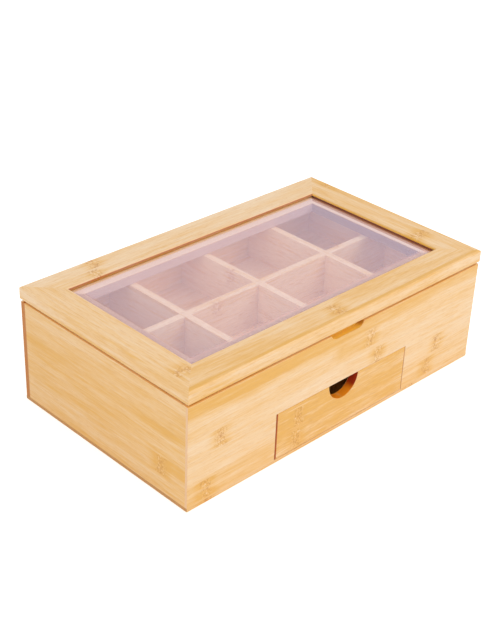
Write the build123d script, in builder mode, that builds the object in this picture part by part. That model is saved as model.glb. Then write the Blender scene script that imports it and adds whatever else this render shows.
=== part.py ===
from build123d import *
import os

# Wooden tea bag box: a framed window lid on two hinges, eight compartments, and a drawer below them.
#
# Millimetres, +Z up. The origin is the middle of the underside. The front, where the drawer opens,
# faces -Y, and the hinges are behind the back wall, at +Y.

os.makedirs("parts", exist_ok=True)

# ---- Driving dimensions ----

# Case
case_length = 335.0  # along X
case_depth = 200.0  # along Y
case_height = 93.8  # underside of the base to the top of the walls
wall_thickness = 8.0
base_thickness = 4.0
corner_lip = 2.5  # what the long walls leave in front of the ends of the side walls
corner_radius = 0.6  # upright outer edges of the walls
edge_round = 0.5  # edges that are only broken with sandpaper
base_chamfer = 1.0  # round the underside

# Compartments
floor_above_bay = 3.4  # from the mouth of the drawer bay up to the compartment floor
floor_thickness = 5.0
floor_groove_depth = 3.0
divider_thickness = 6.5
divider_top_gap = 0.3  # dividers end this far below the top of the walls
joint_fit = 0.1  # clearance of glued joints: laps, panel edges in their grooves, divider ends
compartment_columns = 4

# Finger notch in the front wall, under the lid
notch_floor_length = 24.0  # the straight part between the two round ends
notch_drop = 4.4
notch_depth = 5.5
notch_end_radius = 8.0

# Lid
lid_overhang = 0.4
lid_thickness = 12.8
lid_seam = 0.4  # gap between the walls and the closed lid
lid_member_width = 27.6
lid_ledge_width = 8.6  # ledge under the pane, beyond the member's inner face
lid_ledge_height = 8.4
lid_edge_round = 1.5
lid_lower_chamfer = 2.2
pane_thickness = 2.0
pane_groove_depth = 3.0
pane_fit = 0.15

# Drawer
drawer_width = 152.0
drawer_front_height = 42.3
drawer_wall_height = 39.0
drawer_side_gap = 0.6
drawer_top_gap = 0.5
drawer_floor_gap = 0.3
drawer_back_gap = 0.4
drawer_front_thickness = 8.0
drawer_wall_thickness = 6.0
drawer_rabbet_depth = 4.0  # how far the sides reach into the drawer front
drawer_bottom_thickness = 3.0
drawer_bottom_height = 3.0  # below the bottom panel
drawer_bottom_groove = 3.0
finger_hole_radius = 17.0
guide_thickness = 6.0

# Hinges
hinge_inset = 57.5  # from the end of the case to the middle of a hinge
hinge_length = 26.0
hinge_axis_behind = 2.3  # from the back wall's outer face to the pin
barrel_radius = 2.0
pin_radius = 1.0
pin_fit = 0.05
pin_overhang = 0.4  # of the pin beyond each end knuckle
knuckle_count = 3
knuckle_gap = 0.3
leaf_thickness = 0.9
leaf_width = 6.2  # on the wood, from the wall's outer face inwards
leaf_fit = 0.1
leaf_corner_radius = 0.8
screw_spacing = 16.0
screw_inset = 3.4  # from the wall's outer face
screw_radius = 0.8
screw_head_radius = 1.6
screw_head_angle = 90.0
screw_length = 8.0
screw_tip_length = 1.6
screw_fit = 0.05
screw_slot_width = 0.5
screw_slot_depth = 0.35

# ---- Places worked out from them ----

front_y = -case_depth / 2
back_y = case_depth / 2
inner_length = case_length - 2 * wall_thickness
inner_depth = case_depth - 2 * wall_thickness
wall_height = case_height - base_thickness
bay_width = drawer_width + 2 * drawer_side_gap
bay_height = drawer_floor_gap + drawer_front_height + drawer_top_gap
floor_underside = base_thickness + bay_height + floor_above_bay
floor_top = floor_underside + floor_thickness
divider_height = case_height - divider_top_gap - floor_top
column_pitch = (inner_length + divider_thickness) / compartment_columns

lid_underside = case_height + lid_seam
lid_length = case_length + 2 * lid_overhang
lid_depth = case_depth + 2 * lid_overhang
pane_groove_height = pane_thickness + pane_fit
pane_inset = lid_member_width - pane_groove_depth + pane_fit

drawer_underside = base_thickness + drawer_floor_gap
drawer_inner_width = drawer_width - 2 * drawer_wall_thickness
drawer_back_y = back_y - wall_thickness - drawer_back_gap
drawer_rabbet_y = front_y + drawer_front_thickness - drawer_rabbet_depth
drawer_bottom_z = drawer_underside + drawer_bottom_height

hinge_y = back_y + hinge_axis_behind
hinge_z = case_height + lid_seam / 2
hinge_spacing = case_length - 2 * hinge_inset
hinge_middles = {"left": -hinge_spacing / 2, "right": hinge_spacing / 2}
knuckle_pitch = hinge_length / knuckle_count
leaf_inner_y = back_y - leaf_width

# The plans below have x along the piece and y pointing out of the box.
front_plan = Plane(origin=(0, front_y, base_thickness), x_dir=(-1, 0, 0), z_dir=(0, 0, 1))
back_plan = Plane(origin=(0, back_y, base_thickness), x_dir=(1, 0, 0), z_dir=(0, 0, 1))
left_plan = Plane(origin=(-case_length / 2, 0, base_thickness), x_dir=(0, 1, 0), z_dir=(0, 0, 1))
right_plan = Plane(origin=(case_length / 2, 0, base_thickness), x_dir=(0, -1, 0), z_dir=(0, 0, 1))

front_face = Plane(origin=(0, front_y, 0), x_dir=(1, 0, 0), z_dir=(0, -1, 0))

# A hinge leaf lies on a plane at the pin's height: x along the pin, y out of the box, and z
# towards the other leaf.
case_leaf_plane = Plane(origin=(0, hinge_y, hinge_z), x_dir=(1, 0, 0), z_dir=(0, 0, 1))
lid_leaf_plane = Plane(origin=(0, hinge_y, hinge_z), x_dir=(-1, 0, 0), z_dir=(0, 0, -1))


def save(piece, name):
    """Label a finished piece and write it as its own file."""
    piece.part.label = name
    export_step(piece.part, f"parts/{name}.step")


# ---- Case ----


def long_wall_plan():
    """Plan of the front and back walls: rabbets take the side walls, and the outer edges are round."""
    with BuildSketch(mode=Mode.PRIVATE) as plan:
        Rectangle(case_length, wall_thickness, align=(Align.CENTER, Align.MAX))
        with Locations((-case_length / 2, -corner_lip)):
            Rectangle(wall_thickness, wall_thickness, align=(Align.MIN, Align.MAX), mode=Mode.SUBTRACT)
        with Locations((case_length / 2, -corner_lip)):
            Rectangle(wall_thickness, wall_thickness, align=(Align.MAX, Align.MAX), mode=Mode.SUBTRACT)
        fillet(plan.vertices().group_by(Axis.Y)[-1], corner_radius)
    return plan.sketch


def cut_floor_groove():
    """Groove round the inside of the walls that holds the compartment floor's edge."""
    with BuildSketch(Plane.XY.offset(floor_underside)) as groove:
        Rectangle(inner_length + 2 * floor_groove_depth, inner_depth + 2 * floor_groove_depth)
    extrude(groove.sketch, amount=floor_thickness, mode=Mode.SUBTRACT)


def cut_leaf_seats(leaf_plane):
    """Mortises for the two hinge leaves on this side of the seam, with the screws' pilot holes."""
    for hinge_x in hinge_middles.values():
        with BuildSketch(leaf_plane.offset(-lid_seam / 2)) as mortise:
            with Locations((hinge_x, leaf_inner_y - hinge_y - leaf_fit)):
                Rectangle(
                    hinge_length + 2 * leaf_fit,
                    leaf_width + hinge_axis_behind,
                    align=(Align.CENTER, Align.MIN),
                )
        extrude(mortise.sketch, amount=-leaf_thickness, mode=Mode.SUBTRACT)
        with Locations(leaf_plane.offset(-lid_seam / 2 - leaf_thickness)):
            with Locations((hinge_x, -hinge_axis_behind - screw_inset)):
                with GridLocations(screw_spacing, 0, 2, 1):
                    Hole(screw_radius + screw_fit, depth=screw_length - leaf_thickness + screw_fit)


with BuildPart() as base_panel:
    Box(case_length, case_depth, base_thickness, align=(Align.CENTER, Align.CENTER, Align.MIN))
    chamfer(base_panel.faces().sort_by(Axis.Z)[0].edges(), base_chamfer)
save(base_panel, "base_panel")

with BuildPart() as front_wall:
    with BuildSketch(front_plan):
        add(long_wall_plan())
    extrude(amount=wall_height)
    with BuildSketch(front_face):
        with Locations((0, base_thickness)):
            Rectangle(bay_width, bay_height, align=(Align.CENTER, Align.MIN))
    extrude(amount=-wall_thickness, mode=Mode.SUBTRACT)
    with BuildSketch(front_face):
        with Locations((0, case_height - notch_drop + notch_end_radius)):
            SlotCenterToCenter(notch_floor_length, 2 * notch_end_radius)
    extrude(amount=-notch_depth, mode=Mode.SUBTRACT)
    cut_floor_groove()
save(front_wall, "front_wall")

with BuildPart() as back_wall:
    with BuildSketch(back_plan):
        add(long_wall_plan())
    extrude(amount=wall_height)
    cut_floor_groove()
    cut_leaf_seats(case_leaf_plane)
save(back_wall, "back_wall")

for side, side_plan in {"left": left_plan, "right": right_plan}.items():
    with BuildPart() as side_wall:
        with BuildSketch(side_plan):
            Rectangle(case_depth - 2 * corner_lip, wall_thickness, align=(Align.CENTER, Align.MAX))
        extrude(amount=wall_height)
        cut_floor_groove()
    save(side_wall, f"{side}_wall")

with BuildPart() as compartment_floor:
    with BuildSketch(Plane.XY.offset(floor_underside)):
        Rectangle(
            inner_length + 2 * (floor_groove_depth - joint_fit),
            inner_depth + 2 * (floor_groove_depth - joint_fit),
        )
    extrude(amount=floor_thickness)
save(compartment_floor, "compartment_floor")

# The dividers cross in half laps: slots open at the top of the long one and at the foot of the others.
lap_width = divider_thickness + 2 * joint_fit
lap_height = divider_height / 2
cross_divider_places = [column_pitch * (column - compartment_columns / 2)
                        for column in range(1, compartment_columns)]

with BuildPart() as long_divider:
    with BuildSketch(Plane.XY.offset(floor_top)):
        Rectangle(inner_length - 2 * joint_fit, divider_thickness)
    extrude(amount=divider_height)
    with BuildSketch(Plane.XY.offset(floor_top + divider_height)):
        with Locations(*[(place, 0) for place in cross_divider_places]):
            Rectangle(lap_width, divider_thickness)
    extrude(amount=-lap_height, mode=Mode.SUBTRACT)
save(long_divider, "long_divider")

for number, place in enumerate(cross_divider_places, start=1):
    with BuildPart() as cross_divider:
        with BuildSketch(Plane.XY.offset(floor_top)):
            with Locations((place, 0)):
                Rectangle(divider_thickness, inner_depth - 2 * joint_fit)
        extrude(amount=divider_height)
        with BuildSketch(Plane.XY.offset(floor_top)):
            with Locations((place, 0)):
                Rectangle(divider_thickness, lap_width)
        extrude(amount=divider_height - lap_height, mode=Mode.SUBTRACT)
    save(cross_divider, f"cross_divider_{number}")

for side, direction in {"left": -1, "right": 1}.items():
    with BuildPart() as drawer_guide:
        with BuildSketch(Plane.XY.offset(base_thickness)):
            with Locations((direction * (bay_width + guide_thickness) / 2, 0)):
                Rectangle(guide_thickness, inner_depth)
        extrude(amount=floor_underside - base_thickness)
    save(drawer_guide, f"drawer_guide_{side}")

# ---- Lid ----


def lid_section():
    """Section of a frame member: x inwards from its outer face, y up from its underside."""
    with BuildSketch(mode=Mode.PRIVATE) as section:
        Rectangle(lid_member_width, lid_thickness, align=(Align.MIN, Align.MIN))
        Rectangle(lid_member_width + lid_ledge_width, lid_ledge_height, align=(Align.MIN, Align.MIN))
        fillet(section.vertices().group_by(Axis.Y)[-1], lid_edge_round)
        chamfer(section.vertices().group_by(Axis.Y)[0].sort_by(Axis.X)[0], lid_lower_chamfer)
        with Locations((lid_member_width - pane_groove_depth, lid_ledge_height)):
            Rectangle(
                pane_groove_depth,
                pane_groove_height,
                align=(Align.MIN, Align.MIN),
                mode=Mode.SUBTRACT,
            )
    return section.sketch


def lid_member(outer_point, inwards, member_length):
    """A frame member with its ends mitred: its outer face stands at outer_point and looks away
    from inwards."""
    along = inwards.cross(Vector(0, 0, 1))
    section_plane = Plane(origin=outer_point, x_dir=inwards, z_dir=along)
    with BuildPart() as member:
        with BuildSketch(section_plane):
            add(lid_section())
        extrude(amount=member_length / 2, both=True)
        for end in (1, -1):
            corner = outer_point + along * (end * member_length / 2)
            mitre = Plane(origin=corner, z_dir=along * end + inwards)
            split(bisect_by=mitre, keep=Keep.BOTTOM)
    return member


lid_front_rail = lid_member(
    Vector(0, -lid_depth / 2, lid_underside), Vector(0, 1, 0), lid_length
)
save(lid_front_rail, "lid_front_rail")

plain_back_rail = lid_member(
    Vector(0, lid_depth / 2, lid_underside), Vector(0, -1, 0), lid_length
)
with BuildPart() as lid_back_rail:
    add(plain_back_rail.part)
    cut_leaf_seats(lid_leaf_plane)
save(lid_back_rail, "lid_back_rail")

lid_left_stile = lid_member(
    Vector(-lid_length / 2, 0, lid_underside), Vector(1, 0, 0), lid_depth
)
save(lid_left_stile, "lid_left_stile")

lid_right_stile = lid_member(
    Vector(lid_length / 2, 0, lid_underside), Vector(-1, 0, 0), lid_depth
)
save(lid_right_stile, "lid_right_stile")

with BuildPart() as window_pane:
    with BuildSketch(Plane.XY.offset(lid_underside + lid_ledge_height)):
        Rectangle(lid_length - 2 * pane_inset, lid_depth - 2 * pane_inset)
    extrude(amount=pane_thickness)
save(window_pane, "window_pane")

# ---- Drawer ----


def cut_bottom_groove():
    """Groove round the inside of the drawer that holds the edge of its bottom panel."""
    with BuildSketch(Plane.XY.offset(drawer_bottom_z)) as groove:
        with Locations((0, front_y + drawer_front_thickness - drawer_bottom_groove)):
            Rectangle(
                drawer_inner_width + 2 * drawer_bottom_groove,
                drawer_back_y - drawer_wall_thickness + drawer_bottom_groove
                - (front_y + drawer_front_thickness - drawer_bottom_groove),
                align=(Align.CENTER, Align.MIN),
            )
    extrude(groove.sketch, amount=drawer_bottom_thickness, mode=Mode.SUBTRACT)


with BuildPart() as drawer_front:
    with BuildSketch(front_face):
        with Locations((0, drawer_underside)):
            Rectangle(drawer_width, drawer_front_height, align=(Align.CENTER, Align.MIN))
        with Locations((0, drawer_underside + drawer_front_height)):
            Circle(finger_hole_radius, mode=Mode.SUBTRACT)
    extrude(amount=-drawer_front_thickness)
    fillet(drawer_front.faces().sort_by(Axis.Y)[0].edges(), edge_round)
    with BuildSketch(Plane.XY.offset(drawer_underside)):
        with Locations((-drawer_width / 2, drawer_rabbet_y)):
            Rectangle(drawer_wall_thickness, drawer_rabbet_depth, align=(Align.MIN, Align.MIN))
        with Locations((drawer_width / 2, drawer_rabbet_y)):
            Rectangle(drawer_wall_thickness, drawer_rabbet_depth, align=(Align.MAX, Align.MIN))
    extrude(amount=drawer_front_height, mode=Mode.SUBTRACT)
    cut_bottom_groove()
save(drawer_front, "drawer_front")

for side, direction in {"left": -1, "right": 1}.items():
    with BuildPart() as drawer_side:
        with BuildSketch(Plane.XY.offset(drawer_underside)):
            with Locations((direction * (drawer_width - drawer_wall_thickness) / 2, drawer_rabbet_y)):
                Rectangle(
                    drawer_wall_thickness,
                    drawer_back_y - drawer_rabbet_y,
                    align=(Align.CENTER, Align.MIN),
                )
        extrude(amount=drawer_wall_height)
        fillet(drawer_side.faces().sort_by(Axis.Z)[-1].edges().filter_by(Axis.Y), edge_round)
        cut_bottom_groove()
    save(drawer_side, f"drawer_{side}_side")

with BuildPart() as drawer_back:
    with BuildSketch(Plane.XY.offset(drawer_underside)):
        with Locations((0, drawer_back_y)):
            Rectangle(drawer_inner_width, drawer_wall_thickness, align=(Align.CENTER, Align.MAX))
    extrude(amount=drawer_wall_height)
    cut_bottom_groove()
save(drawer_back, "drawer_back")

with BuildPart() as drawer_bottom:
    with BuildSketch(Plane.XY.offset(drawer_bottom_z)):
        panel_reach = drawer_bottom_groove - joint_fit
        panel_front_y = front_y + drawer_front_thickness - panel_reach
        panel_back_y = drawer_back_y - drawer_wall_thickness + panel_reach
        with Locations((0, panel_front_y)):
            Rectangle(
                drawer_inner_width + 2 * panel_reach,
                panel_back_y - panel_front_y,
                align=(Align.CENTER, Align.MIN),
            )
    extrude(amount=drawer_bottom_thickness)
save(drawer_bottom, "drawer_bottom")

# ---- Hinges ----


def barrel_stretch(leaf_plane, start_x, radius, length, mode):
    """A round bar along the pin's line, from start_x, added to or cut from the open piece."""
    end_plane = Plane(
        origin=leaf_plane.from_local_coords(Vector(start_x, 0, 0)),
        z_dir=leaf_plane.x_dir,
    )
    with BuildSketch(end_plane) as end_face:
        Circle(radius)
    extrude(end_face.sketch, amount=length, mode=mode)


def hinge_leaf(leaf_plane, hinge_x, own_knuckles):
    """One leaf, let into the wood, with its share of the knuckles rolled round the pin."""
    barrel_start = hinge_x - hinge_length / 2
    with BuildPart() as leaf:
        with BuildSketch(leaf_plane.offset(-lid_seam / 2)) as outline:
            with Locations((hinge_x, leaf_inner_y - hinge_y)):
                Rectangle(
                    hinge_length,
                    hinge_y - leaf_inner_y,
                    align=(Align.CENTER, Align.MIN),
                )
            fillet(outline.vertices().group_by(Axis.Y)[0], leaf_corner_radius)
        extrude(amount=-leaf_thickness)
        for knuckle in range(knuckle_count):
            if knuckle not in own_knuckles:
                start_x = barrel_start + knuckle * knuckle_pitch - knuckle_gap / 2
                barrel_stretch(
                    leaf_plane,
                    start_x,
                    barrel_radius + knuckle_gap,
                    knuckle_pitch + knuckle_gap,
                    Mode.SUBTRACT,
                )
        for knuckle in own_knuckles:
            start_x = barrel_start + knuckle * knuckle_pitch + knuckle_gap / 2
            barrel_stretch(
                leaf_plane, start_x, barrel_radius, knuckle_pitch - knuckle_gap, Mode.ADD
            )
        barrel_stretch(
            leaf_plane, barrel_start, pin_radius + pin_fit, hinge_length, Mode.SUBTRACT
        )
        with Locations(leaf_plane.offset(-lid_seam / 2)):
            with Locations((hinge_x, -hinge_axis_behind - screw_inset)):
                with GridLocations(screw_spacing, 0, 2, 1):
                    CounterSinkHole(
                        screw_radius + screw_fit,
                        screw_head_radius + screw_fit,
                        depth=leaf_thickness,
                        counter_sink_angle=screw_head_angle,
                    )
    return leaf


outer_knuckles = list(range(0, knuckle_count, 2))
inner_knuckles = list(range(1, knuckle_count, 2))

for side, hinge_x in hinge_middles.items():
    save(hinge_leaf(case_leaf_plane, hinge_x, outer_knuckles), f"{side}_hinge_case_leaf")
    save(hinge_leaf(lid_leaf_plane, -hinge_x, inner_knuckles), f"{side}_hinge_lid_leaf")

    with BuildPart() as hinge_pin:
        with Locations((hinge_x, hinge_y, hinge_z)):
            Cylinder(pin_radius, hinge_length + 2 * pin_overhang, rotation=(0, 90, 0))
        chamfer(hinge_pin.edges().filter_by(GeomType.CIRCLE), pin_overhang / 2)
    save(hinge_pin, f"{side}_hinge_pin")

# A countersunk wood screw with a cross slot, standing head up with its head's rim at the origin.
with BuildPart() as hinge_screw:
    with BuildSketch(Plane.XZ):
        with BuildLine():
            Polyline(
                (0, 0),
                (screw_head_radius, 0),
                (screw_radius, screw_radius - screw_head_radius),
                (screw_radius, screw_tip_length - screw_length),
                (0, -screw_length),
                close=True,
            )
        make_face()
    revolve(axis=Axis.Z)
    with BuildSketch(Plane.XY):
        Rectangle(2 * screw_radius, screw_slot_width)
        Rectangle(screw_slot_width, 2 * screw_radius)
    extrude(amount=-screw_slot_depth, mode=Mode.SUBTRACT)

for name, leaf_plane in {"hinge_case_screws": case_leaf_plane, "hinge_lid_screws": lid_leaf_plane}.items():
    with BuildPart() as screw_set:
        with Locations(leaf_plane.offset(-lid_seam / 2)):
            with Locations((0, -hinge_axis_behind - screw_inset)):
                with GridLocations(hinge_spacing, 0, 2, 1):
                    with GridLocations(screw_spacing, 0, 2, 1):
                        add(hinge_screw.part)
    save(screw_set, name)
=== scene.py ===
import math

import bpy
from mathutils import Matrix, Vector


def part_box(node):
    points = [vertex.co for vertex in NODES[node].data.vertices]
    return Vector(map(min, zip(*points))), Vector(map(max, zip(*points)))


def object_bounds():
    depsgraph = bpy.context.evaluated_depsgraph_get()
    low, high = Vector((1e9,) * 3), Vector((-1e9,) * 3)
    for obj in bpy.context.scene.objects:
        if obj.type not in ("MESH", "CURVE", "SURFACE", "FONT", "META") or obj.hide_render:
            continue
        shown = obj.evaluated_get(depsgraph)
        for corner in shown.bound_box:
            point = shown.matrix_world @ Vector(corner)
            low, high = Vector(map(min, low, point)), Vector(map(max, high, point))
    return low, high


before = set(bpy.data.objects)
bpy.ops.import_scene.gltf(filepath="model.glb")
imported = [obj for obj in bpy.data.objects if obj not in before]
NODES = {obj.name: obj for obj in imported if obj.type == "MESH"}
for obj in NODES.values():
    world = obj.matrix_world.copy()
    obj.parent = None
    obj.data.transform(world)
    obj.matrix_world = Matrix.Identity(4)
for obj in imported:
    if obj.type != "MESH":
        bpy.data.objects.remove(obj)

# Looks of a bamboo tea bag box with a framed window lid and a drawer. Metres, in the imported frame:
# +Z up, the front faces -Y, and the origin is the middle of the underside.

CAD_LOW, CAD_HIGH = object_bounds()

MM = 0.001

# ---- Camera: where the photograph was taken from ----

CAMERA_AZIMUTH = math.radians(-45.318)
CAMERA_ELEVATION = math.radians(30.431)
CAMERA_ROLL = math.radians(2.414)
CAMERA_DISTANCE = 1.09587
CAMERA_RIGHT = -0.00476  # how far its axis passes from the origin
CAMERA_UP = 0.04739
CAMERA_LENS = 70.72

# ---- Bamboo, in linear colours ----

STRIP_WIDTH = 20 * MM  # of the slats that a board is glued up from
STRIP_THICKNESS = 6 * MM
STRIP_SEAM = 0.35 * MM
NODE_SPACING = 0.235  # between two knuckles of a stalk
NODE_HALF_WIDTH = 5.6 * MM
NODE_HALO = 15 * MM
PALE = (0.965, 0.725, 0.480, 1)
HONEY = (0.930, 0.615, 0.305, 1)
AMBER = (0.850, 0.465, 0.105, 1)
STREAK = (0.720, 0.360, 0.100, 1)
KNUCKLE = (0.580, 0.230, 0.048, 1)
# Painted shade: the next four colours stand in for shade in hollows, in gaps and along the frame's
# inner edges.
SHADE_BROWN = (0.430, 0.080, 0.004, 1)  # painted shade, dark brown
SHADE_ORANGE = (0.920, 0.530, 0.065, 1)
RIM_SHADE_ORANGE = (0.950, 0.290, 0.010, 1)
RIM_SHADE_DARK = (0.420, 0.030, 0.001, 1)
# Painted light and shade on the ledge under the pane: the pale and rose colours stand in for light on
# ledge faces that lie in the frame's shade, and the mauve and darkest ones stand in for shade on the
# ledge's inner faces.
LEDGE_SHADED = (0.300, 0.170, 0.150, 1)  # sides and tops of the ledge under the pane
LEDGE_MAUVE = (0.460, 0.255, 0.260, 1)
LEDGE_ROSE = (0.660, 0.460, 0.430, 1)
LEDGE_LIT = (0.930, 0.720, 0.640, 1)
END_GRAIN = (0.560, 0.270, 0.085, 1)
# The pale end grain of the front wall is a painted highlight on its rounded front corners. The brown is
# the dots of cut fibre bundles, and it is also painted shade at the back corners.
END_PALE_HIGHLIGHT = (0.900, 0.580, 0.340, 1)
END_BROWN = (0.560, 0.190, 0.025, 1)

# Patterns of the grain: noise of about this length along the fibres and width across them.
GRAIN_PATTERNS = {
    "broad": dict(length=90 * MM, width=10.0 * MM, detail=2.0, roughness=0.50, shift=3.1),
    "bands": dict(length=48 * MM, width=2.6 * MM, detail=3.0, roughness=0.60, shift=7.7),
    "lines": dict(length=17 * MM, width=1.0 * MM, detail=2.0, roughness=0.60, shift=2.3),
    "fine": dict(length=12 * MM, width=0.6 * MM, detail=3.0, roughness=0.65, shift=1.3),
    "dashes": dict(length=5 * MM, width=0.7 * MM, detail=1.0, roughness=0.50, shift=5.9),
}
MIDDLE_SHADE = 0.42  # of a board with a tone of 0, on the ramp from PALE to AMBER
SLAT_CONTRAST = 0.24
BROAD_CONTRAST = 0.95
BAND_CONTRAST = 0.82
LINE_CONTRAST = 0.74
FINE_COVER = 0.44  # share of the wood's colour that each mark hides
DASH_COVER = 0.28
SEAM_COVER = 0.18
DARK_MARK_COVER = 0.68
PALE_MARK_COVER = 0.60
FIBRE_WANDER = 3 * MM
KNUCKLE_WANDER = 8 * MM

# ---- Other materials ----

FILM_WARM = (0.98, 0.76, 0.88, 1)
FILM_COOL = (0.85, 0.74, 1.00, 1)
WARM_UP_TO = 0.07  # places along the pane, which the cloudy noise shifts
COOL_FROM = 0.19
FILM_COVER = 0.245  # share of what is behind the pane that the haze on each face hides
FILM_SHADE = 0.03  # share of the lamps' light that it keeps out
CLEAR_COVER = 0.03  # what the pane hides where it has no film
END_MARGIN = 4.8 * MM  # clear strip between the film and the frame, at the pane's right end
SIDE_MARGIN = 1.5 * MM  # and along its back
FRONT_EDGE_COVER = 0.16  # added to the haze over the ledges
LEFT_EDGE_COVER = 0.03
EDGE_ROSE = (0.98, 0.66, 0.70, 1)
EDGE_SOFTNESS = 1.5 * MM
BRASS_BRIGHT = (0.86, 0.66, 0.34, 1)
BRASS_DULL = (0.60, 0.42, 0.19, 1)

# ---- Places on the lid that several pieces share ----

PANE_LOW, PANE_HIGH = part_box("window_pane")
PANE_IN_GROOVE = 2.85 * MM
INNER_RIGHT = PANE_HIGH.x - PANE_IN_GROOVE  # the frame's inner faces, above the pane
INNER_BACK = PANE_HIGH.y - PANE_IN_GROOVE
LEDGE_WIDTH = 8.6 * MM  # of the ledge under the pane, beyond those faces


class Graph:
    """Adds shader nodes to a material or to the world.

    Every input takes a number, a colour or another node's output.
    """

    def __init__(self, owner):
        self.owner = owner
        owner.use_nodes = True
        self.tree = owner.node_tree
        self.tree.nodes.clear()

    def node(self, kind, inputs=None, **settings):
        node = self.tree.nodes.new(kind)
        for name, value in settings.items():
            setattr(node, name, value)
        for key, value in (inputs or {}).items():
            if isinstance(value, bpy.types.NodeSocket):
                self.tree.links.new(value, node.inputs[key])
            else:
                node.inputs[key].default_value = value
        return node

    def math(self, operation, a, b=0.0, c=0.0):
        return self.node("ShaderNodeMath", {0: a, 1: b, 2: c}, operation=operation).outputs[0]

    def add(self, a, b):
        return self.math("ADD", a, b)

    def scale(self, a, b):
        return self.math("MULTIPLY", a, b)

    def rise(self, value, low, high):
        """0 below low, 1 above high and smooth between them."""
        return self.node(
            "ShaderNodeMapRange",
            {"Value": value, "From Min": low, "From Max": high},
            interpolation_type="SMOOTHSTEP",
        ).outputs[0]

    def fall(self, value, low, high):
        return self.math("SUBTRACT", 1.0, self.rise(value, low, high))

    def vector(self, x, y, z):
        return self.node("ShaderNodeCombineXYZ", {"X": x, "Y": y, "Z": z}).outputs[0]

    def noise(self, vector, detail=2.0, roughness=0.5, distortion=0.0):
        return self.node(
            "ShaderNodeTexNoise",
            {
                "Vector": vector,
                "Scale": 1.0,
                "Detail": detail,
                "Roughness": roughness,
                "Distortion": distortion,
            },
        ).outputs[0]

    def hash(self, value):
        return self.node("ShaderNodeTexWhiteNoise", {"W": value}, noise_dimensions="1D").outputs[0]

    def blend(self, factor, a, b, mode="MIX"):
        """Mixes colour b over colour a."""
        return self.node(
            "ShaderNodeMix", {0: factor, 6: a, 7: b}, data_type="RGBA", blend_type=mode
        ).outputs[2]

    def ramp(self, factor, stops):
        node = self.node("ShaderNodeValToRGB", {0: factor})
        elements = node.color_ramp.elements
        while len(elements) < len(stops):
            elements.new(0.5)
        for element, (place, colour) in zip(elements, stops):
            element.position = place
            element.color = colour
        return node.outputs[0]

    def finish(self, surface, output="ShaderNodeOutputMaterial"):
        self.node(output, {"Surface": surface})
        return self.owner


class Bamboo(Graph):
    """The nodes of one glued-up board: fibres along one axis, slats side by side along another."""

    def __init__(self, name, grain, strips, seed, first_strip):
        super().__init__(bpy.data.materials.new(name))
        self.seed = seed
        place = self.node("ShaderNodeTexCoord").outputs
        self.parts = self.node("ShaderNodeSeparateXYZ", {0: place["Object"]}).outputs
        facing = self.node("ShaderNodeSeparateXYZ", {0: place["Normal"]}).outputs
        self.along = self.parts[grain]
        self.across = self.parts[strips]
        self.depth = self.parts[({"X", "Y", "Z"} - {grain, strips}).pop()]
        self.cut = self.rise(self.math("ABSOLUTE", facing[grain]), 0.70, 0.92)

        # Fibres wander a little, so every pattern across them is read from a wavy coordinate.
        wander = self.noise(
            self.vector(self.scale(self.along, 7.0), self.scale(self.across, 14.0), seed)
        )
        self.waved = self.add(self.across, self.scale(self.add(wander, -0.5), FIBRE_WANDER))

        # Slats: each has a shade of its own, and its knuckles come at a place of their own.
        slat_place = self.scale(self.add(self.across, -first_strip), 1 / STRIP_WIDTH)
        slat = self.math("FLOOR", slat_place)
        layer = self.math("FLOOR", self.scale(self.depth, 1 / STRIP_THICKNESS))
        self.own = self.hash(self.add(self.add(slat, self.scale(layer, 17.3)), seed * 3.7))
        self.phase = self.hash(self.add(self.add(slat, self.scale(layer, 5.1)), seed * 9.1 + 40))
        in_slat = self.math("FRACT", slat_place)
        to_seam = self.math("MINIMUM", in_slat, self.math("SUBTRACT", 1.0, in_slat))
        self.seam = self.fall(to_seam, 0.0, STRIP_SEAM / STRIP_WIDTH)

    def fibres(self, length, width, detail, roughness, shift):
        """Noise stretched along the grain: about length by width, in metres."""
        return self.noise(
            self.vector(
                self.add(self.scale(self.along, 1 / length), self.seed + shift),
                self.scale(self.waved, 1 / width),
                self.scale(self.depth, 1 / width),
            ),
            detail,
            roughness,
        )

    def inside(self, limits):
        """1 inside a zone and 0 beyond it. Its limits are (low, high, softness) for each named axis."""
        mask = 1.0
        for axis, (low, high, softness) in limits.items():
            value = self.parts[axis.upper()]
            mask = self.scale(self.rise(value, low - softness, low + softness), mask)
            mask = self.scale(self.fall(value, high - softness, high + softness), mask)
        return mask

    def knuckles(self, knots):
        """The distance from the nearest knuckle's middle, and a mask of the slats that have one."""
        warp_noise = self.noise(self.vector(self.scale(self.across, 260.0), self.seed + 11.0, 0.0), 2.0)
        warped = self.add(self.along, self.scale(self.add(warp_noise, -0.5), KNUCKLE_WANDER))
        if knots is None:
            turns = self.add(self.scale(warped, 1 / NODE_SPACING), self.phase)
            from_middle = self.scale(self.add(self.math("FRACT", turns), -0.5), NODE_SPACING)
            return self.math("ABSOLUTE", from_middle), 1.0
        nearest, shown = 1.0, 0.0
        for knot_along, knot_across in knots:
            from_middle = self.math("ABSOLUTE", self.add(warped, -knot_along))
            from_strip = self.math("ABSOLUTE", self.add(self.across, -knot_across))
            in_strip = self.fall(from_strip, STRIP_WIDTH * 0.40, STRIP_WIDTH * 0.56)
            away = self.add(from_middle, self.math("SUBTRACT", 1.0, in_strip))
            nearest = self.math("MINIMUM", away, nearest)
            shown = self.math("MAXIMUM", in_strip, shown)
        return nearest, shown


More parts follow.
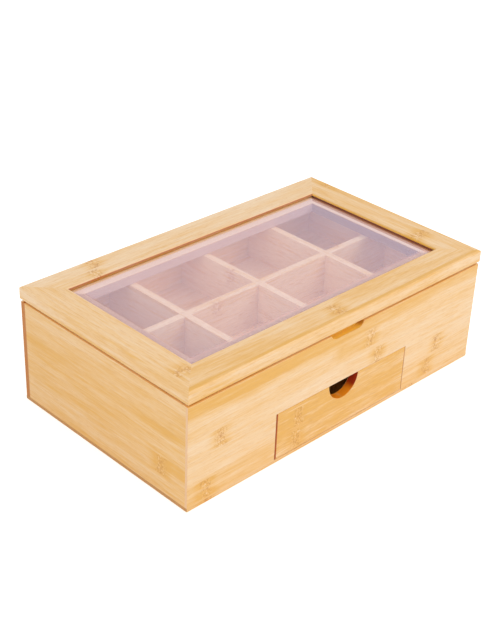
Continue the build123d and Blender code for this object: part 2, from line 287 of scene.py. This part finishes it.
def bamboo(name, grain, strips, seed, tone=0.0, contrast=1.0, first_strip=0.0, knots=None,
           patches=(), painted_zones=(), end=END_GRAIN):
    """Glued-up bamboo.

    tone shifts the board towards amber, contrast strengthens its grain, first_strip is where one
    slat's edge lies, and knots lists the middles of its knuckles, along and across; without it they
    come at a stalk's own spacing.
    patches are (shift, limits); the zones laid over the wood, of painted shade, painted light and
    plain colour, are (colour, strength, limits); and end is the colour of its end grain.
    """
    wood = Bamboo(name, grain, strips, seed, first_strip)
    broad, bands, lines, fine, dashes = (
        wood.fibres(**pattern) for pattern in GRAIN_PATTERNS.values()
    )

    shade = tone + MIDDLE_SHADE
    for pattern, strength in (
        (wood.own, SLAT_CONTRAST),
        (broad, BROAD_CONTRAST),
        (bands, BAND_CONTRAST),
        (lines, LINE_CONTRAST),
    ):
        shade = wood.add(shade, wood.scale(wood.add(pattern, -0.5), strength * contrast))
    for shift, limits in patches:
        shade = wood.add(shade, wood.scale(wood.inside(limits), shift))

    from_knuckle, shown = wood.knuckles(knots)
    core = wood.scale(wood.fall(from_knuckle, NODE_HALF_WIDTH * 0.4, NODE_HALF_WIDTH * 1.3), shown)
    halo = wood.scale(wood.fall(from_knuckle, NODE_HALF_WIDTH * 0.5, NODE_HALO), shown)
    shade = wood.add(shade, wood.scale(wood.scale(halo, bands), 0.60))
    colour = wood.ramp(shade, [(0.08, PALE), (0.48, HONEY), (0.94, AMBER)])

    # Fine brown fibres, the short dashes of the vessels and the glued seams.
    for mask, cover in (
        (wood.rise(fine, 0.48, 0.76), FINE_COVER * contrast),
        (wood.rise(dashes, 0.56, 0.76), DASH_COVER * contrast),
        (wood.seam, SEAM_COVER),
    ):
        colour = wood.blend(wood.scale(mask, cover), colour, STREAK)

    # Knuckles: crumpled dark and pale marks that run across the grain.
    curl = wood.noise(
        wood.vector(
            wood.scale(wood.along, 1 / (1.7 * MM)),
            wood.scale(wood.across, 1 / (2.6 * MM)),
            seed,
        ),
        2.0,
        0.60,
        0.9,
    )
    dark_marks = wood.scale(core, wood.rise(curl, 0.47, 0.66))
    pale_marks = wood.scale(core, wood.fall(curl, 0.32, 0.46))
    colour = wood.blend(wood.scale(dark_marks, DARK_MARK_COVER), colour, KNUCKLE)
    colour = wood.blend(wood.scale(pale_marks, PALE_MARK_COVER), colour, PALE)

    # End grain, with the dots of the cut fibre bundles.
    dots = wood.node(
        "ShaderNodeTexVoronoi",
        {"Vector": wood.vector(wood.across, wood.depth, seed), "Scale": 1250.0},
    ).outputs["Distance"]
    bundles = wood.scale(wood.fall(dots, 0.10, 0.42), 0.25)
    end_colour = wood.blend(bundles, end, END_BROWN)
    colour = wood.blend(wood.scale(wood.cut, 0.92), colour, end_colour)

    # Zones of painted shade and painted light, and of plain colour, laid over the wood's own colour.
    for painted, strength, limits in painted_zones:
        zone_mask = wood.scale(wood.inside(limits), strength)
        zone_mask = wood.scale(zone_mask, wood.add(wood.scale(bands, 0.5), 0.7))
        colour = wood.blend(wood.math("MINIMUM", zone_mask, 1.0), colour, painted)

    relief = wood.add(wood.scale(fine, 0.7), wood.scale(dashes, 0.3))
    relief = wood.add(relief, wood.scale(wood.seam, -0.9))
    relief = wood.add(relief, wood.scale(dark_marks, -0.7))
    bump = wood.node(
        "ShaderNodeBump", {"Strength": 0.35, "Distance": 0.12 * MM, "Height": relief}
    ).outputs[0]
    roughness = wood.add(wood.scale(fine, 0.16), wood.add(wood.scale(wood.cut, 0.18), 0.34))
    shader = wood.node(
        "ShaderNodeBsdfPrincipled",
        {
            "Base Color": colour,
            "Roughness": roughness,
            "Normal": bump,
            "Specular IOR Level": 0.32,
            "Coat Weight": 0.10,
            "Coat Roughness": 0.22,
        },
    )
    return wood.finish(shader.outputs[0])


def hazy_pane():
    """A clear sheet between two thin films, pinkish at the left and lavender at the right."""
    graph = Graph(bpy.data.materials.new("hazy_pane"))
    place = graph.node("ShaderNodeTexCoord").outputs["Object"]
    parts = graph.node("ShaderNodeSeparateXYZ", {0: place}).outputs
    cloud = graph.noise(
        graph.vector(graph.scale(parts["X"], 6.0), graph.scale(parts["Y"], 9.0), 4.2), 3.0
    )
    drift = graph.add(parts["X"], graph.scale(cloud, 0.06))
    colour = graph.blend(graph.rise(drift, WARM_UP_TO, COOL_FROM), FILM_WARM, FILM_COOL)

    # Thicker and rosier over the ledges at the left and the front.
    haze = FILM_COVER
    for axis, edge, extra in (
        ("X", LEDGE_WIDTH - INNER_RIGHT, LEFT_EDGE_COVER),
        ("Y", LEDGE_WIDTH - INNER_BACK, FRONT_EDGE_COVER),
    ):
        on_edge = graph.fall(parts[axis], edge - EDGE_SOFTNESS, edge + EDGE_SOFTNESS)
        colour = graph.blend(on_edge, colour, EDGE_ROSE)
        haze = graph.add(graph.scale(on_edge, extra), haze)

    # The film lets light pass to the compartments, and ends short of the frame at the right and back.
    path = graph.node("ShaderNodeLightPath").outputs
    lighting = graph.math("MAXIMUM", path["Is Shadow Ray"], path["Is Diffuse Ray"])
    cover = graph.node(
        "ShaderNodeMapRange",
        {"Value": lighting, "To Min": haze, "To Max": FILM_SHADE},
    ).outputs[0]
    for axis, edge in (("X", INNER_RIGHT - END_MARGIN), ("Y", INNER_BACK - SIDE_MARGIN)):
        cover = graph.scale(cover, graph.fall(parts[axis], edge - 0.3 * MM, edge + 0.3 * MM))

    # Its lower film is left out where the pane lies on the right and back ledges.
    on_ledge = 0.0
    for axis, edge in (("X", INNER_RIGHT - LEDGE_WIDTH), ("Y", INNER_BACK - LEDGE_WIDTH)):
        on_ledge = graph.math("MAXIMUM", graph.math("GREATER_THAN", parts[axis], edge), on_ledge)
    underside = graph.math("LESS_THAN", parts["Z"], (PANE_LOW.z + PANE_HIGH.z) / 2)
    hidden = graph.scale(on_ledge, underside)
    cover = graph.scale(cover, graph.math("SUBTRACT", 1.0, hidden))
    cover = graph.math("MAXIMUM", cover, CLEAR_COVER)

    smear = graph.noise(
        graph.vector(graph.scale(parts["X"], 40.0), graph.scale(parts["Y"], 55.0), 1.7), 4.0
    )
    shader = graph.node(
        "ShaderNodeBsdfPrincipled",
        {
            "Base Color": colour,
            "Roughness": graph.add(graph.scale(smear, 0.12), 0.06),
            "IOR": 1.49,
            "Alpha": cover,
        },
    )
    return graph.finish(shader.outputs[0])


def brass(name, bright, dull):
    """Thin plated sheet metal: brushed along the hinge, duller in blotches."""
    graph = Graph(bpy.data.materials.new(name))
    place = graph.node("ShaderNodeTexCoord").outputs["Object"]
    parts = graph.node("ShaderNodeSeparateXYZ", {0: place}).outputs
    brushed = graph.noise(
        graph.vector(
            graph.scale(parts[0], 120.0), graph.scale(parts[1], 5200.0), graph.scale(parts[2], 5200.0)
        ),
        2.0,
    )
    blotches = graph.noise(
        graph.vector(*(graph.scale(part, 420.0) for part in parts)), 4.0, 0.6
    )
    colour = graph.ramp(blotches, [(0.34, bright), (0.72, dull)])
    bump = graph.node(
        "ShaderNodeBump", {"Strength": 0.2, "Distance": 0.03 * MM, "Height": brushed}
    ).outputs[0]
    shader = graph.node(
        "ShaderNodeBsdfPrincipled",
        {
            "Base Color": colour,
            "Metallic": 1.0,
            "Roughness": graph.add(graph.scale(blotches, 0.30), 0.14),
            "Normal": bump,
        },
    )
    return graph.finish(shader.outputs[0])


def dress(node, material):
    mesh = NODES[node].data
    mesh.materials.clear()
    mesh.materials.append(material)


# ---- Wood ----

WALL_LOW, WALL_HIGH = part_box("front_wall")
WALL_FOOT = WALL_LOW.z
WALL_TOP = WALL_HIGH.z
FRONT_Y = WALL_LOW.y
CASE_LEFT = WALL_LOW.x
STRIP_MIDDLES = [WALL_FOOT + STRIP_WIDTH * (row + 0.5) for row in range(5)]

# Middles of the knuckles that the photograph shows, along and across each board.
FRONT_KNOTS = [
    (-0.149, STRIP_MIDDLES[0]),
    (0.109, STRIP_MIDDLES[0]),
    (0.120, STRIP_MIDDLES[1]),
    (-0.135, STRIP_MIDDLES[2]),
    (0.040, STRIP_MIDDLES[2]),
    (0.029, STRIP_MIDDLES[3]),
]
DRAWER_KNOTS = [(-0.053, STRIP_MIDDLES[0]), (-0.051, STRIP_MIDDLES[1])]
LEFT_KNOTS = [(-0.071, WALL_FOOT + 24 * MM)]
BACK_RAIL_KNOTS = [(-0.100, 0.094), (-0.108, 0.077)]
FRONT_RAIL_KNOTS = [(-0.003, -0.089)]
LEFT_STILE_KNOTS = [(-0.077, -0.152)]

# The top of the front wall is darker than the rest of it, most of all on the left.
FRONT_PATCHES = [
    (0.30, {"z": (WALL_TOP - 11 * MM, WALL_TOP, 2 * MM)}),
    (0.16, {"x": (CASE_LEFT, 0.0, 40 * MM), "z": (WALL_TOP - 16 * MM, WALL_TOP, 12 * MM)}),
    (-0.12, {"z": (WALL_FOOT + 20 * MM, WALL_FOOT + 62 * MM, 5 * MM)}),
    (0.14, {"x": (CASE_LEFT, -0.08, 8 * MM), "z": (WALL_FOOT, WALL_FOOT + 18 * MM, 3 * MM)}),
    (0.34, {"x": (-0.012, 0.020, 8 * MM), "z": (WALL_FOOT + 62 * MM, WALL_FOOT + 76 * MM, 5 * MM)}),
]

# Painted shade: the finger hole's rim is orange, and dark at its right-hand end. A dark line along
# the drawer front's left edge is the painted shadow of the gap beside it.
MOUTH_LOW, MOUTH_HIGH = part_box("drawer_front")
HOLE_RADIUS = 17 * MM
RIM_DEPTH = (MOUTH_LOW.y + 0.35 * MM, MOUTH_HIGH.y - 0.2 * MM, 0.15 * MM)
DRAWER_SHADE = [
    (
        RIM_SHADE_ORANGE,
        1.2,
        {
            "x": (-HOLE_RADIUS, HOLE_RADIUS, 0.5 * MM),
            "y": RIM_DEPTH,
            "z": (MOUTH_HIGH.z - HOLE_RADIUS, MOUTH_HIGH.z - 0.3 * MM, 0.2 * MM),
        },
    ),
    (
        RIM_SHADE_DARK,
        1.3,
        {
            "x": (12 * MM, 2 * HOLE_RADIUS, 4 * MM),
            "y": RIM_DEPTH,
            "z": (MOUTH_HIGH.z - HOLE_RADIUS, MOUTH_HIGH.z - 0.3 * MM, 0.2 * MM),
        },
    ),
    (SHADE_BROWN, 1.2, {"x": (MOUTH_LOW.x - 1 * MM, MOUTH_LOW.x + 1.3 * MM, 0.3 * MM)}),
]
DRAWER_PATCHES = [(-0.24, {"x": (10 * MM, 2 * MOUTH_HIGH.x, 20 * MM)})]

# The cheeks of the drawer's mouth are plain, and the finger notch is painted orange shade, darkest at
# its right end.
NOTCH_HALF_LENGTH = 20 * MM
NOTCH_DEPTH = 5.5 * MM
NOTCH_DROP = 4.4 * MM
NOTCH_ZONE = {
    "y": (FRONT_Y + 0.6 * MM, FRONT_Y + NOTCH_DEPTH + 0.6 * MM, 0.4 * MM),
    "z": (WALL_TOP - NOTCH_DROP - 0.6 * MM, WALL_TOP, 0.4 * MM),
}
FRONT_CHEEKS_AND_SHADE = [
    (
        HONEY,
        1.2,
        {
            "x": (MOUTH_LOW.x - 2 * MM, MOUTH_HIGH.x + 2 * MM, 0.2 * MM),
            "y": (FRONT_Y + 0.5 * MM, FRONT_Y + 9 * MM, 0.2 * MM),
            "z": (WALL_FOOT - 1 * MM, MOUTH_HIGH.z + 2 * MM, 0.2 * MM),
        },
    ),
    (SHADE_ORANGE, 1.0, {"x": (-NOTCH_HALF_LENGTH, NOTCH_HALF_LENGTH, 0.4 * MM), **NOTCH_ZONE}),
    (SHADE_BROWN, 0.6, {"x": (NOTCH_HALF_LENGTH - 4 * MM, NOTCH_HALF_LENGTH, 2 * MM), **NOTCH_ZONE}),
]

# Painted shade: the left wall is end grain's dark brown along its back end, where its rounded edge
# turns from the light.
LEFT_SHADE = [(END_BROWN, 1.2, {"y": (-FRONT_Y - 5 * MM, -FRONT_Y, 0.4 * MM)})]

LID_LOW, LID_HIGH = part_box("lid_front_rail")
FACE_SKIN = 0.5 * MM  # how far a zone reaches to either side of the face that it colours


def inner_side(axis, face, outwards, painted, shades, ledge):
    """Zones of a frame member's inner side, whose face above the pane stands at face on the axis.

    The colours of painted shade are for that face, for the groove behind it and for the strip of
    ledge next to it, whose width is given. ledge holds the painted light and shade of the rest of
    the ledge's top and of the ledge's own inner face.
    """
    face_shade, groove_shade, strip_shade = shades
    top_colour, side_colour = ledge
    ledge_edge = face - outwards * LEDGE_WIDTH
    ledge_top = sorted((ledge_edge, face))
    strip = sorted((face - outwards * painted, face))
    groove = sorted((face, face + outwards * (PANE_IN_GROOVE + FACE_SKIN)))
    inner_face = (face - FACE_SKIN, face + FACE_SKIN)
    ledge_side = (ledge_edge - FACE_SKIN, ledge_edge + FACE_SKIN)
    above = (PANE_HIGH.z + 0.3 * MM, LID_HIGH.z - 0.6 * MM, 0.3 * MM)
    at_pane = (PANE_LOW.z - 0.4 * MM, PANE_HIGH.z + 0.1 * MM, 0.1 * MM)
    below = (LID_LOW.z - 1 * MM, PANE_LOW.z - 0.5 * MM, 0.3 * MM)
    return [
        (top_colour, 0.9, {axis: (*ledge_top, 0.2 * MM), "z": at_pane}),
        (strip_shade, 0.9, {axis: (*strip, 0.2 * MM), "z": at_pane}),
        (groove_shade, 0.9, {axis: (*groove, 0.2 * MM), "z": at_pane}),
        (face_shade, 0.8, {axis: (*inner_face, 0.2 * MM), "z": above}),
        (side_colour, 1.0, {axis: (*ledge_side, 0.2 * MM), "z": below}),
    ]


# Painted shade on the frame's inner sides, for the face above the pane, the groove behind it and the
# strip of ledge beside it. At the right end, KNUCKLE's brown is used as painted shade too.
SIDE_SHADES = (SHADE_BROWN, SHADE_ORANGE, SHADE_ORANGE)
END_SHADES = (SHADE_ORANGE, SHADE_BROWN, KNUCKLE)

# The lid's outer faces: an orange line along the top edge, a painted highlight that makes the middle of
# the front paler, and painted shade on the front's lower chamfer.
FRONT_EDGE = (LID_LOW.y - 1 * MM, LID_LOW.y + 1 * MM, 1 * MM)
FRONT_RAIL_PATCHES = [
    (0.42, {"y": (LID_LOW.y + 1.2 * MM, LID_LOW.y + 4.7 * MM, 1.5 * MM)}),
    (-0.16, {"y": FRONT_EDGE, "z": (LID_LOW.z + 4 * MM, LID_HIGH.z - 2 * MM, 1.5 * MM)}),
    (0.30, {"y": FRONT_EDGE, "z": (LID_LOW.z - 1 * MM, LID_LOW.z + 1.5 * MM, 1 * MM)}),
]
# Painted shade on the left stile's lower outer chamfer.
LEFT_STILE_PATCHES = [
    (
        0.30,
        {
            "x": (LID_LOW.x - 1 * MM, LID_LOW.x + 3 * MM, 1 * MM),
            "z": (LID_LOW.z - 1 * MM, LID_LOW.z + 4.5 * MM, 1 * MM),
        },
    ),
]

INSIDE = dict(strips="Z", tone=-0.28, contrast=1.8)  # paler than the outside, with a bolder grain

BOARDS = {
    # The front wall's pale end grain is a painted highlight on its rounded front corners.
    "front_wall": dict(
        grain="X", strips="Z", tone=0.09, contrast=0.85, first_strip=WALL_FOOT, knots=FRONT_KNOTS,
        patches=FRONT_PATCHES, painted_zones=FRONT_CHEEKS_AND_SHADE, end=END_PALE_HIGHLIGHT,
    ),
    # The back wall's dark brown end grain is end grain's own colour, and it is also painted shade at
    # its back corners.
    "back_wall": dict(grain="X", strips="Z", contrast=1.3, first_strip=WALL_FOOT, end=END_BROWN),
    "left_wall": dict(
        grain="Y", strips="Z", tone=0.27, contrast=0.90, first_strip=WALL_FOOT, knots=LEFT_KNOTS,
        painted_zones=LEFT_SHADE,
    ),
    "right_wall": dict(grain="Y", strips="Z", tone=0.06, contrast=1.3, first_strip=WALL_FOOT),
    "base_panel": dict(grain="X", strips="Y", tone=0.20),
    "compartment_floor": dict(grain="X", strips="Y", tone=-0.10, contrast=1.8),
    "long_divider": dict(grain="X", **INSIDE),
    "cross_divider_1": dict(grain="Y", **INSIDE),
    "cross_divider_2": dict(grain="Y", **INSIDE),
    "cross_divider_3": dict(grain="Y", **INSIDE),
    "drawer_guide_left": dict(grain="Y", strips="Z", tone=0.20),
    "drawer_guide_right": dict(grain="Y", strips="Z", tone=0.20),
    "lid_front_rail": dict(
        grain="X", strips="Y", tone=0.18, knots=FRONT_RAIL_KNOTS, patches=FRONT_RAIL_PATCHES,
        painted_zones=inner_side("y", -INNER_BACK, -1, SIDE_MARGIN, SIDE_SHADES, (LEDGE_LIT, LEDGE_MAUVE)),
    ),
    "lid_back_rail": dict(
        grain="X", strips="Y", tone=-0.14, knots=BACK_RAIL_KNOTS,
        painted_zones=inner_side("y", INNER_BACK, 1, SIDE_MARGIN, SIDE_SHADES, (LEDGE_LIT, LEDGE_ROSE)),
    ),
    "lid_left_stile": dict(
        grain="Y", strips="X", tone=0.06, knots=LEFT_STILE_KNOTS,
        patches=LEFT_STILE_PATCHES,
        painted_zones=inner_side("x", -INNER_RIGHT, -1, SIDE_MARGIN, SIDE_SHADES, (LEDGE_ROSE, LEDGE_MAUVE)),
    ),
    "lid_right_stile": dict(
        grain="Y", strips="X", tone=0.18,
        painted_zones=inner_side("x", INNER_RIGHT, 1, END_MARGIN, END_SHADES, (LEDGE_LIT, LEDGE_SHADED)),
    ),
    "drawer_front": dict(
        grain="X", strips="Z", tone=0.58, contrast=1.5, first_strip=WALL_FOOT, knots=DRAWER_KNOTS,
        patches=DRAWER_PATCHES, painted_zones=DRAWER_SHADE, end=HONEY,
    ),
    "drawer_left_side": dict(grain="Y", strips="Z", tone=0.40),
    "drawer_right_side": dict(grain="Y", strips="Z", tone=0.40),
    "drawer_back": dict(grain="X", strips="Z", tone=0.40),
    "drawer_bottom": dict(grain="X", strips="Y", tone=0.40),
}

SEED_STEP = 1.7  # any number that isn't whole gives each board a grain of its own

for number, (node, look) in enumerate(BOARDS.items(), start=1):
    dress(node, bamboo(f"bamboo_{node}", seed=number * SEED_STEP, **look))

# ---- Window and hinges ----

dress("window_pane", hazy_pane())
hinge_brass = brass("hinge_brass", BRASS_BRIGHT, BRASS_DULL)
screw_brass = brass("screw_brass", BRASS_DULL, BRASS_BRIGHT)
for side in ("left", "right"):
    for piece in ("case_leaf", "lid_leaf", "pin"):
        dress(f"{side}_hinge_{piece}", hinge_brass)
for node in ("hinge_case_screws", "hinge_lid_screws"):
    dress(node, screw_brass)

# ---- Floor, light and camera ----

FLOOR_HALF = 3.0
FLOOR_GLOW = 0.55
FLOOR_COLOUR = (0.86, 0.86, 0.86, 1)
WHITE = (1, 1, 1, 1)
SKY_LIGHT = 0.62
KEY_LAMP = dict(place=(0.9, -1.5, 1.5), size=1.4, power=17.2)
FILL_LAMP = dict(place=(-1.6, -0.5, 1.0), size=1.6, power=9.0)
SENSOR_WIDTH = 36.0  # millimetres, as the lens is


def seen_directly(graph):
    """1 for rays that show the background: from the camera, off a gloss or through a pane."""
    path = graph.node("ShaderNodeLightPath").outputs
    total = graph.add(path["Is Camera Ray"], path["Is Glossy Ray"])
    return graph.math("MINIMUM", graph.add(total, path["Is Transmission Ray"]), 1.0)


def floor_material():
    """Matt white, lifted by a glow that only direct looks see, so that its shadows stay."""
    graph = Graph(bpy.data.materials.new("floor"))
    matt = graph.node("ShaderNodeBsdfDiffuse", {"Color": FLOOR_COLOUR}).outputs[0]
    glow = graph.node(
        "ShaderNodeEmission",
        {"Color": WHITE, "Strength": graph.scale(seen_directly(graph), FLOOR_GLOW)},
    ).outputs[0]
    return graph.finish(graph.node("ShaderNodeAddShader", {0: matt, 1: glow}).outputs[0])


def make_floor():
    mesh = bpy.data.meshes.new("floor")
    corners = [(-1, -1), (1, -1), (1, 1), (-1, 1)]
    vertices = [(x * FLOOR_HALF, y * FLOOR_HALF, CAD_LOW.z) for x, y in corners]
    mesh.from_pydata(vertices, [], [(0, 1, 2, 3)])
    mesh.materials.append(floor_material())
    floor = bpy.data.objects.new("floor", mesh)
    bpy.context.scene.collection.objects.link(floor)


def make_world():
    """An even white surround: a softer light than what direct looks see."""
    graph = Graph(bpy.data.worlds.new("studio"))
    strength = graph.node(
        "ShaderNodeMapRange",
        {"Value": seen_directly(graph), "To Min": SKY_LIGHT, "To Max": 1.0},
    ).outputs[0]
    background = graph.node("ShaderNodeBackground", {"Color": WHITE, "Strength": strength}).outputs[0]
    bpy.context.scene.world = graph.finish(background, "ShaderNodeOutputWorld")


def softbox(name, place, size, power):
    """A square lamp that faces the middle of the object."""
    lamp = bpy.data.lights.new(name, "AREA")
    lamp.shape = "SQUARE"
    lamp.size = size
    lamp.energy = power
    holder = bpy.data.objects.new(name, lamp)
    holder.location = place
    aim = (CAD_LOW + CAD_HIGH) / 2 - Vector(place)
    holder.rotation_euler = aim.to_track_quat("-Z", "Y").to_euler()
    bpy.context.scene.collection.objects.link(holder)


def make_camera():
    """Looks along -back, with its own right and up turned by the roll."""
    azimuth, elevation = CAMERA_AZIMUTH, CAMERA_ELEVATION
    back = Vector(
        (
            math.sin(azimuth) * math.cos(elevation),
            -math.cos(azimuth) * math.cos(elevation),
            math.sin(elevation),
        )
    )
    right = Vector((math.cos(azimuth), math.sin(azimuth), 0.0))
    up = back.cross(right)
    right, up = (
        right * math.cos(CAMERA_ROLL) + up * math.sin(CAMERA_ROLL),
        up * math.cos(CAMERA_ROLL) - right * math.sin(CAMERA_ROLL),
    )
    camera = bpy.data.cameras.new("photo_camera")
    camera.lens = CAMERA_LENS
    camera.sensor_width = SENSOR_WIDTH
    holder = bpy.data.objects.new("photo_camera", camera)
    place = back * CAMERA_DISTANCE + right * CAMERA_RIGHT + up * CAMERA_UP
    holder.matrix_world = Matrix.Translation(place) @ Matrix((right, up, back)).transposed().to_4x4()
    bpy.context.scene.collection.objects.link(holder)
    bpy.context.scene.camera = holder


make_floor()
make_world()
softbox("key", **KEY_LAMP)
softbox("fill", **FILL_LAMP)
make_camera()
bpy.context.scene.view_settings.view_transform = "Standard"
